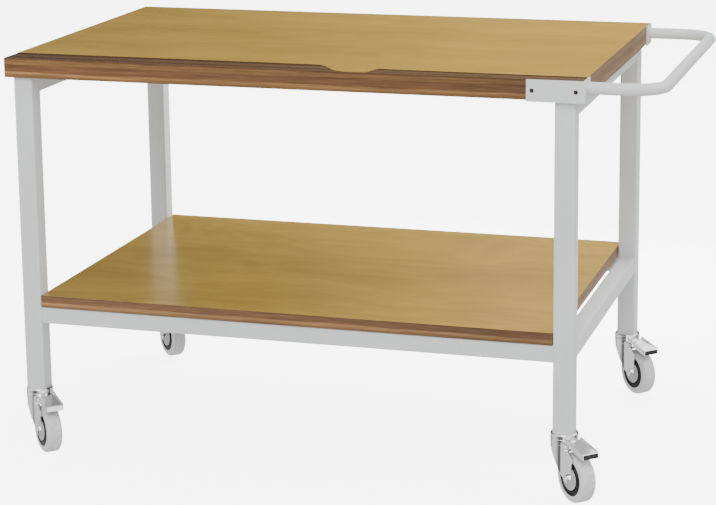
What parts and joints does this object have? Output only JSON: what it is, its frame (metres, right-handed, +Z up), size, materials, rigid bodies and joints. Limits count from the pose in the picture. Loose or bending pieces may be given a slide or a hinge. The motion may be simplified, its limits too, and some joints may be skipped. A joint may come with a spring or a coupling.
{
  "type": "mobile work table",
  "caption": "Rolling work table with a thick veneered board, a lower shelf, a square-tube frame, an end push handle and braked swivel castors.",
  "frame": {"origin": "on the floor, under the middle of the box round the whole table at rest", "axes": "+X along the worktop towards the push handle, +Y to the rear edge, +Z up"},
  "size_m": [1.4126, 0.8496, 0.8687],
  "materials": {
    "veneer_board": "satin varnish",
    "frame_paint": "satin",
    "bright_zinc": "polished",
    "plain_steel": "satin",
    "grey_rubber": "matt",
    "black_plastic": "gloss",
    "grey_plastic": "satin"
  },
  "bodies": {
    "table": {"worktop": "veneer_board", "lower_shelf": "veneer_board", "leg_front_left": "frame_paint", "leg_front_right": "frame_paint", "leg_rear_left": "frame_paint", "leg_rear_right": "frame_paint", "upper_rail_left": "frame_paint", "upper_rail_right": "frame_paint", "lower_rail_front": "frame_paint", "lower_rail_rear": "frame_paint", "lower_rail_left": "frame_paint", "lower_rail_right": "frame_paint", "push_handle": "frame_paint", "handle_bracket_front": "frame_paint", "handle_bracket_rear": "frame_paint", "bracket_screws": "plain_steel", "worktop_screws": "plain_steel", "shelf_screws": "plain_steel", "leg_inserts": "grey_plastic", "swivel_balls": "bright_zinc", "castor_front_left_head": "bright_zinc", "castor_front_right_head": "bright_zinc", "castor_rear_left_head": "bright_zinc", "castor_rear_right_head": "bright_zinc"},
    "castor_front_left_fork_body": {"castor_front_left_fork": "bright_zinc", "castor_front_left_brake_pin": "bright_zinc", "castor_front_left_axle": "bright_zinc", "castor_front_left_axle_nut": "bright_zinc", "castor_front_left_bush": "plain_steel", "castor_front_left_thread_guards": "grey_plastic"},
    "castor_front_left_wheel_body": {"castor_front_left_rim": "black_plastic", "castor_front_left_tyre": "grey_rubber"},
    "castor_front_left_pedal_body": {"castor_front_left_pedal": "bright_zinc"},
    "castor_front_right_fork_body": {"castor_front_right_fork": "bright_zinc", "castor_front_right_brake_pin": "bright_zinc", "castor_front_right_axle": "bright_zinc", "castor_front_right_axle_nut": "bright_zinc", "castor_front_right_bush": "plain_steel", "castor_front_right_thread_guards": "grey_plastic"},
    "castor_front_right_wheel_body": {"castor_front_right_rim": "black_plastic", "castor_front_right_tyre": "grey_rubber"},
    "castor_front_right_pedal_body": {"castor_front_right_pedal": "bright_zinc"},
    "castor_rear_left_fork_body": {"castor_rear_left_fork": "bright_zinc", "castor_rear_left_brake_pin": "bright_zinc", "castor_rear_left_axle": "bright_zinc", "castor_rear_left_axle_nut": "bright_zinc", "castor_rear_left_bush": "plain_steel", "castor_rear_left_thread_guards": "grey_plastic"},
    "castor_rear_left_wheel_body": {"castor_rear_left_rim": "black_plastic", "castor_rear_left_tyre": "grey_rubber"},
    "castor_rear_left_pedal_body": {"castor_rear_left_pedal": "bright_zinc"},
    "castor_rear_right_fork_body": {"castor_rear_right_fork": "bright_zinc", "castor_rear_right_brake_pin": "bright_zinc", "castor_rear_right_axle": "bright_zinc", "castor_rear_right_axle_nut": "bright_zinc", "castor_rear_right_bush": "plain_steel", "castor_rear_right_thread_guards": "grey_plastic"},
    "castor_rear_right_wheel_body": {"castor_rear_right_rim": "black_plastic", "castor_rear_right_tyre": "grey_rubber"},
    "castor_rear_right_pedal_body": {"castor_rear_right_pedal": "bright_zinc"}
  },
  "joints": [
    {"name": "castor_front_left_swivel", "type": "hinge", "parent": "table", "child": "castor_front_left_fork_body", "pos_m": [-0.66775, -0.33972, 0.1157], "axis": [0, 0, 1], "continuous": true},
    {"name": "castor_front_left_roll", "type": "hinge", "parent": "castor_front_left_fork_body", "child": "castor_front_left_wheel_body", "pos_m": [-0.63471, -0.37454, 0.0515], "axis": [0.7254, 0.6884, 0], "continuous": true},
    {"name": "castor_front_left_brake", "type": "hinge", "parent": "castor_front_left_fork_body", "child": "castor_front_left_pedal_body", "pos_m": [-0.64159, -0.36728, 0.1077], "axis": [0.7254, 0.6884, 0], "range_deg": [0, 10]},
    {"name": "castor_front_right_swivel", "type": "hinge", "parent": "table", "child": "castor_front_right_fork_body", "pos_m": [0.50525, -0.33972, 0.1157], "axis": [0, 0, 1], "continuous": true},
    {"name": "castor_front_right_roll", "type": "hinge", "parent": "castor_front_right_fork_body", "child": "castor_front_right_wheel_body", "pos_m": [0.53829, -0.37454, 0.0515], "axis": [0.7254, 0.6884, 0], "continuous": true},
    {"name": "castor_front_right_brake", "type": "hinge", "parent": "castor_front_right_fork_body", "child": "castor_front_right_pedal_body", "pos_m": [0.53141, -0.36728, 0.1077], "axis": [0.7254, 0.6884, 0], "range_deg": [0, 10]},
    {"name": "castor_rear_left_swivel", "type": "hinge", "parent": "table", "child": "castor_rear_left_fork_body", "pos_m": [-0.66775, 0.39328, 0.1157], "axis": [0, 0, 1], "continuous": true},
    {"name": "castor_rear_left_roll", "type": "hinge", "parent": "castor_rear_left_fork_body", "child": "castor_rear_left_wheel_body", "pos_m": [-0.63471, 0.35846, 0.0515], "axis": [0.7254, 0.6884, 0], "continuous": true},
    {"name": "castor_rear_left_brake", "type": "hinge", "parent": "castor_rear_left_fork_body", "child": "castor_rear_left_pedal_body", "pos_m": [-0.64159, 0.36572, 0.1077], "axis": [0.7254, 0.6884, 0], "range_deg": [0, 10]},
    {"name": "castor_rear_right_swivel", "type": "hinge", "parent": "table", "child": "castor_rear_right_fork_body", "pos_m": [0.50525, 0.39328, 0.1157], "axis": [0, 0, 1], "continuous": true},
    {"name": "castor_rear_right_roll", "type": "hinge", "parent": "castor_rear_right_fork_body", "child": "castor_rear_right_wheel_body", "pos_m": [0.53829, 0.35846, 0.0515], "axis": [0.7254, 0.6884, 0], "continuous": true},
    {"name": "castor_rear_right_brake", "type": "hinge", "parent": "castor_rear_right_fork_body", "child": "castor_rear_right_pedal_body", "pos_m": [0.53141, 0.36572, 0.1077], "axis": [0.7254, 0.6884, 0], "range_deg": [0, 10]}
  ]
}
